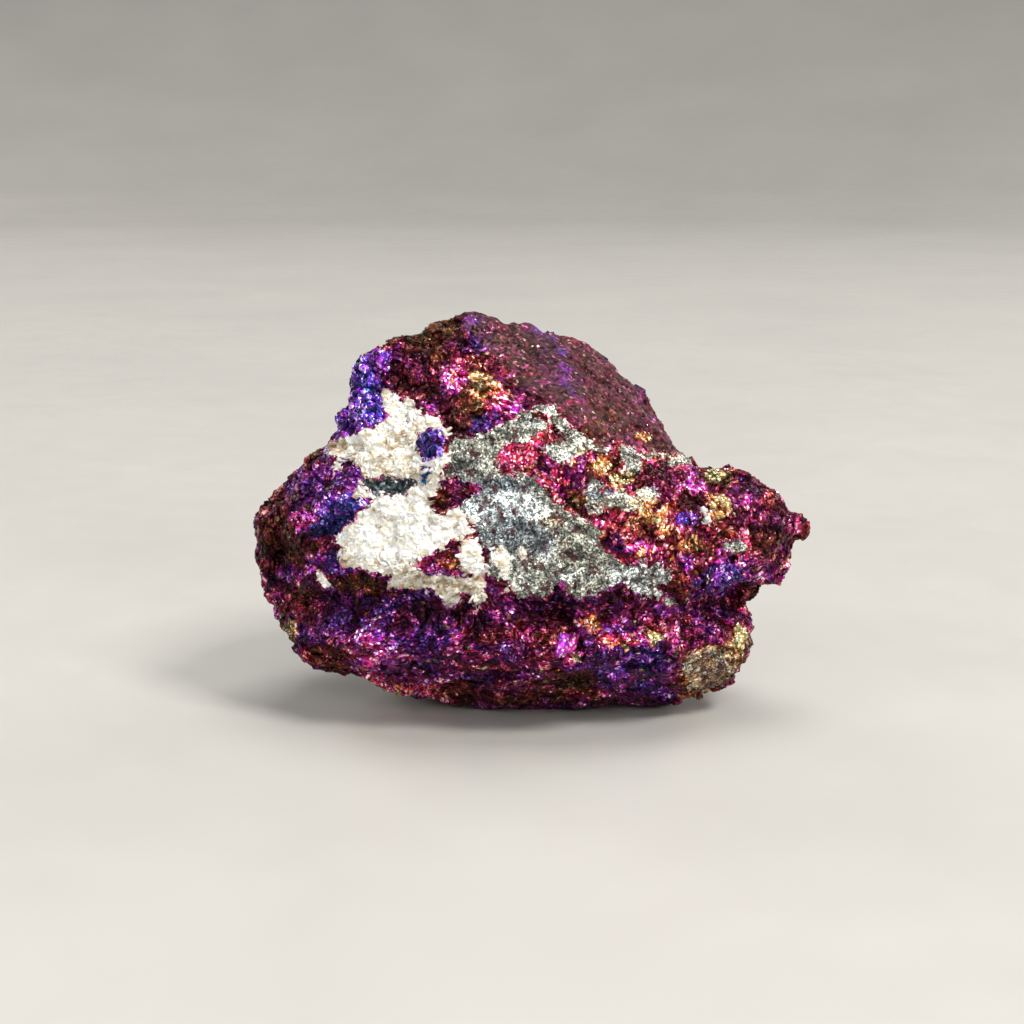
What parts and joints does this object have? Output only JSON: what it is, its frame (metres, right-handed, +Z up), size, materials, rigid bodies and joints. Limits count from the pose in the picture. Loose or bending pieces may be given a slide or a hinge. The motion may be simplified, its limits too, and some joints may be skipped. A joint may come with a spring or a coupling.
{
  "type": "peacock ore",
  "caption": "Rough lump of tarnished copper ore with a peaked crown, a side spur, a pale crust on its front and a small flat foot.",
  "frame": {"origin": "middle of the stone's outline seen from above, on the surface it rests on", "axes": "+Z up, -Y towards the broken front face with the pale crust, +X towards the spur, along the longest extent"},
  "size_m": [0.07, 0.0442, 0.05],
  "materials": {
    "tarnish": "iridescent metallic tarnish in magenta, purple, blue and gold on rough broken ore, with a pale crust and grey grains on the front"
  },
  "bodies": {
    "root": {"ore_lump": "tarnish"}
  },
  "joints": []
}
